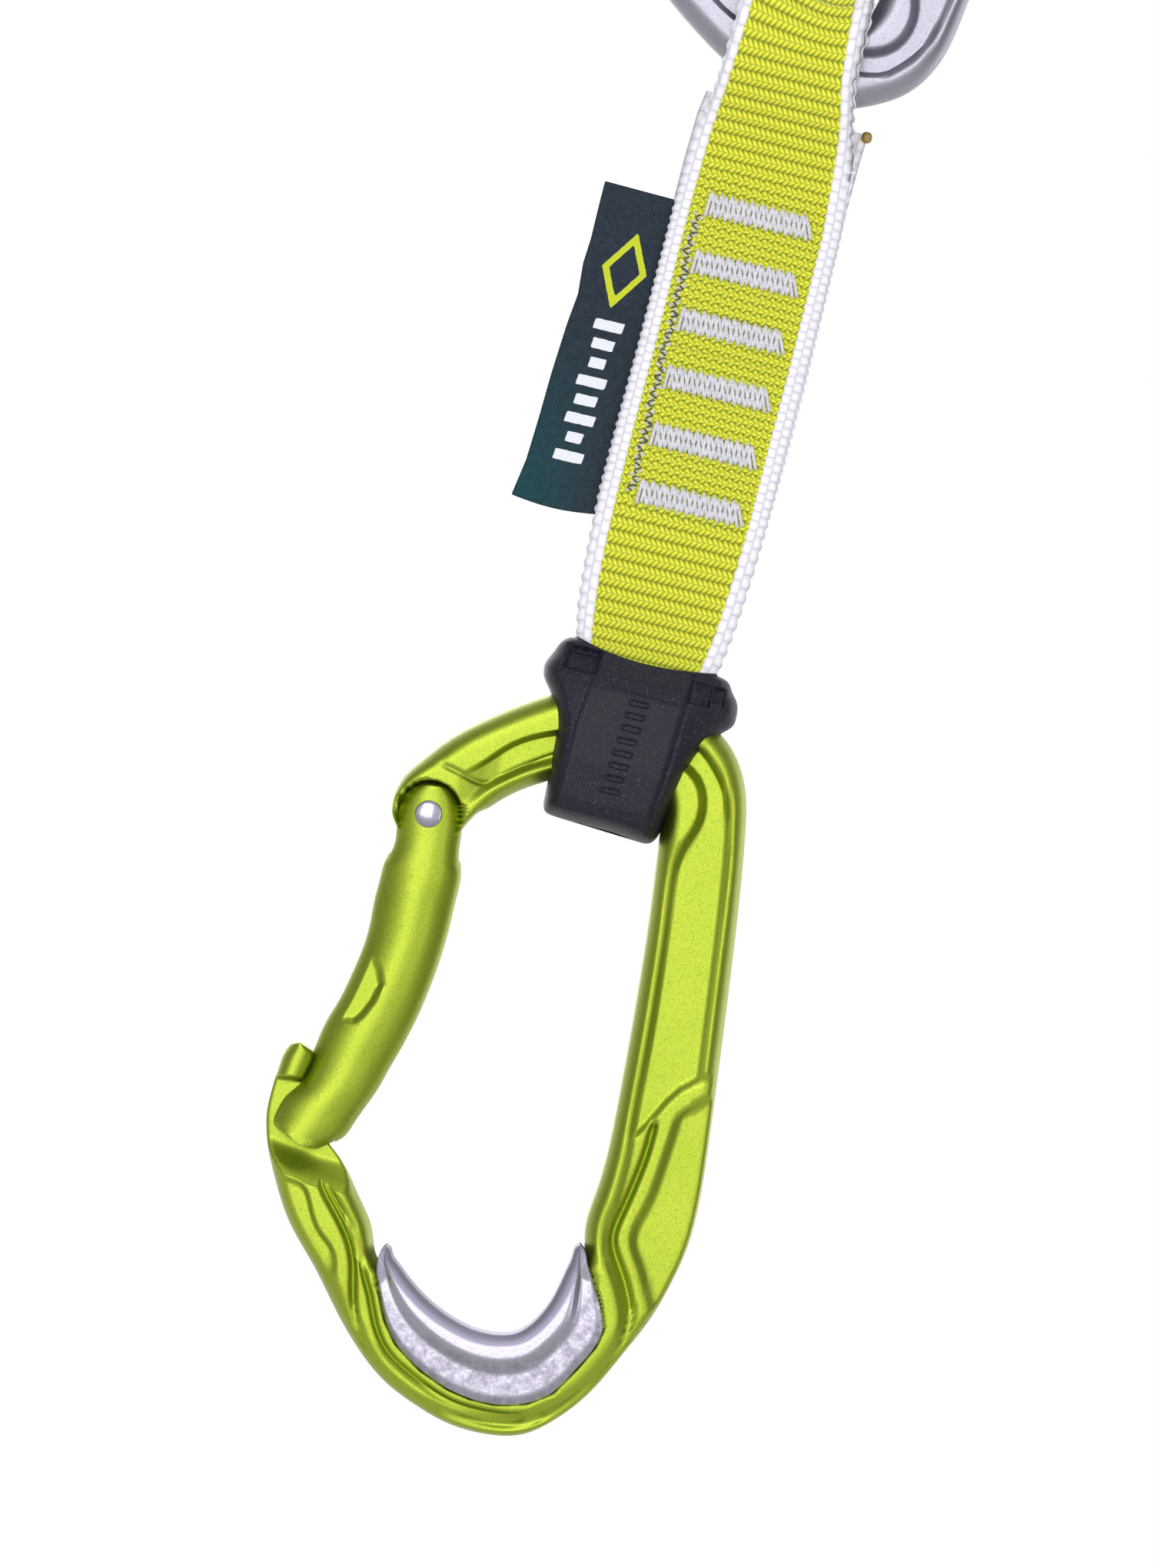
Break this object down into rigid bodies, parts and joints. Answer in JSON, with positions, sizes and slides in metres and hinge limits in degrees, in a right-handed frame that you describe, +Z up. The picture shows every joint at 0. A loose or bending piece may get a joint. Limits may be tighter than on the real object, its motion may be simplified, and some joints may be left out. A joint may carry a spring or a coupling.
{
  "type": "climbing quickdraw",
  "caption": "Climbing quickdraw: a straight-gate and a bent-gate carabiner joined by a sewn webbing sling with a rubber keeper, with steel liners where bolt and rope bear.",
  "frame": {"origin": "middle of the upper carabiner's steel basket, where the bolt hanger bears", "axes": "+Z up along the hanging sling, +X towards the carabiners' spines, Y through the thickness"},
  "size_m": [0.0616, 0.019, 0.2876],
  "materials": {
    "silver_aluminium": "hot-forged aluminium, satin silver anodised",
    "lime_aluminium": "hot-forged aluminium, glossy lime anodised",
    "insert_steel": "formed steel sheet, polished, with rope wear",
    "rivet_steel": "turned stainless steel",
    "spring_steel": "drawn spring wire",
    "sling_webbing": "woven polyamide tape, lime with white selvedges",
    "tack_thread": "pale grey bonded thread in zigzag bar tacks",
    "dark_thread": "dark grey sewing thread, zigzag",
    "label_ribbon": "satin woven ribbon, dark petrol blue",
    "keeper_rubber": "moulded black rubber, matt"
  },
  "bodies": {
    "bolt_carabiner": {"bolt_carabiner_frame": "silver_aluminium", "bolt_wear_insert": "insert_steel", "bolt_gate_rivet": "rivet_steel"},
    "bolt_gate": {"bolt_carabiner_gate": "silver_aluminium", "bolt_gate_spring": "spring_steel"},
    "bolt_plunger": {"bolt_gate_plunger": "rivet_steel"},
    "upper_loop": {"sling_upper_loop": "sling_webbing"},
    "sling": {"sling_webbing": "sling_webbing", "bar_tack_1": "tack_thread", "bar_tack_2": "tack_thread", "bar_tack_3": "tack_thread", "bar_tack_4": "tack_thread", "bar_tack_5": "tack_thread", "bar_tack_6": "tack_thread", "label_stitching": "dark_thread", "label_flap": "label_ribbon"},
    "rope_carabiner": {"rope_carabiner_frame": "lime_aluminium", "rope_wear_insert": "insert_steel", "rope_gate_rivet": "rivet_steel", "sling_lower_loop": "sling_webbing", "rubber_keeper": "keeper_rubber"},
    "rope_gate": {"rope_carabiner_gate": "lime_aluminium", "rope_gate_spring": "spring_steel"},
    "rope_plunger": {"rope_gate_plunger": "rivet_steel"}
  },
  "joints": [
    {"name": "bolt_gate_hinge", "type": "hinge", "parent": "bolt_carabiner", "child": "bolt_gate", "pos_m": [-0.02139, 0, -0.0667], "axis": [0, 1, 0], "range_deg": [0, 30], "stiffness_Nm_per_rad": 0.1, "springref_deg": -40.11},
    {"name": "bolt_plunger_slide", "type": "slide", "parent": "bolt_gate", "child": "bolt_plunger", "axis": [-0.0323, 0, 0.9995], "range_m": [0, 0.001], "deforming": ["bolt_gate_spring"]},
    {"name": "loop_tilt", "type": "hinge", "parent": "bolt_carabiner", "child": "upper_loop", "pos_m": [0.0035, 0, -0.07241], "axis": [0, -1, 0], "range_deg": [-5, 15]},
    {"name": "sling_swing", "type": "hinge", "parent": "upper_loop", "child": "sling", "pos_m": [0, 0, -0.097], "axis": [1, 0, 0], "range_deg": [-90, 90]},
    {"name": "rope_carabiner_swing", "type": "hinge", "parent": "sling", "child": "rope_carabiner", "pos_m": [0, 0, -0.1631], "axis": [1, 0, 0], "range_deg": [-60, 60]},
    {"name": "rope_gate_hinge", "type": "hinge", "parent": "rope_carabiner", "child": "rope_gate", "pos_m": [-0.02392, 0, -0.19407], "axis": [0, -1, 0], "range_deg": [0, 30], "stiffness_Nm_per_rad": 0.1, "springref_deg": -40.11},
    {"name": "rope_plunger_slide", "type": "slide", "parent": "rope_gate", "child": "rope_plunger", "axis": [-0.007, 0, -1], "range_m": [0, 0.001], "deforming": ["rope_gate_spring"]}
  ],
  "couplings": [
    {"joint": "bolt_plunger_slide", "follows": "bolt_gate_hinge", "m_per_rad": 0.0019},
    {"joint": "rope_plunger_slide", "follows": "rope_gate_hinge", "m_per_rad": 0.0019}
  ]
}
